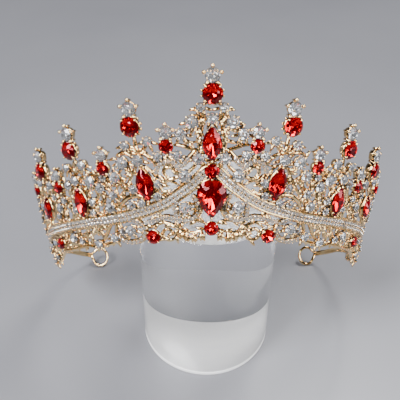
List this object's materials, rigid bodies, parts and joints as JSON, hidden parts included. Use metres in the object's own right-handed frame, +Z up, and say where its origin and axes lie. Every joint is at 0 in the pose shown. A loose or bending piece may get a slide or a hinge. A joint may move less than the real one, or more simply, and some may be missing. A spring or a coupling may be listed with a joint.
{
  "type": "crown headband on a display stand",
  "caption": "Openwork gold crown headband set with red and clear cut stones, leaning with its end loops on the table against the top of a clear round display block.",
  "frame": {"origin": "middle of the stand's foot, on the table", "axes": "+Z up, -Y to the front of the crown, +X to the right as seen from the front"},
  "size_m": [0.153, 0.0772, 0.1456],
  "materials": {
    "gold_metal": "polished light gold plating over cast metal",
    "red_stone": "faceted, foil backed",
    "clear_stone": "faceted, foil backed",
    "clear_plastic": "polished clear acrylic",
    "white_plastic": "smooth"
  },
  "bodies": {
    "root": {"frame": "gold_metal", "red_pear": "red_stone", "red_marquise_middle": "red_stone", "red_round_top": "red_stone", "red_round_upper": "red_stone", "red_round_lower": "red_stone", "clear_top": "clear_stone", "red_marquise_left_1": "red_stone", "red_marquise_left_2": "red_stone", "red_marquise_left_3": "red_stone", "red_marquise_right_1": "red_stone", "red_marquise_right_2": "red_stone", "red_marquise_right_3": "red_stone", "red_spire_left_1": "red_stone", "red_spire_left_2": "red_stone", "red_spire_left_3": "red_stone", "red_spire_left_4": "red_stone", "red_spire_left_5": "red_stone", "red_spire_left_6": "red_stone", "red_spire_left_7": "red_stone", "red_spire_right_1": "red_stone", "red_spire_right_2": "red_stone", "red_spire_right_3": "red_stone", "red_spire_right_4": "red_stone", "red_spire_right_5": "red_stone", "red_spire_right_6": "red_stone", "red_spire_right_7": "red_stone", "red_low_left_1": "red_stone", "red_low_left_2": "red_stone", "red_low_right_1": "red_stone", "red_low_right_2": "red_stone", "clear_spires": "clear_stone", "clear_field": "clear_stone", "stand_block": "clear_plastic", "stand_base": "white_plastic"}
  },
  "joints": []
}
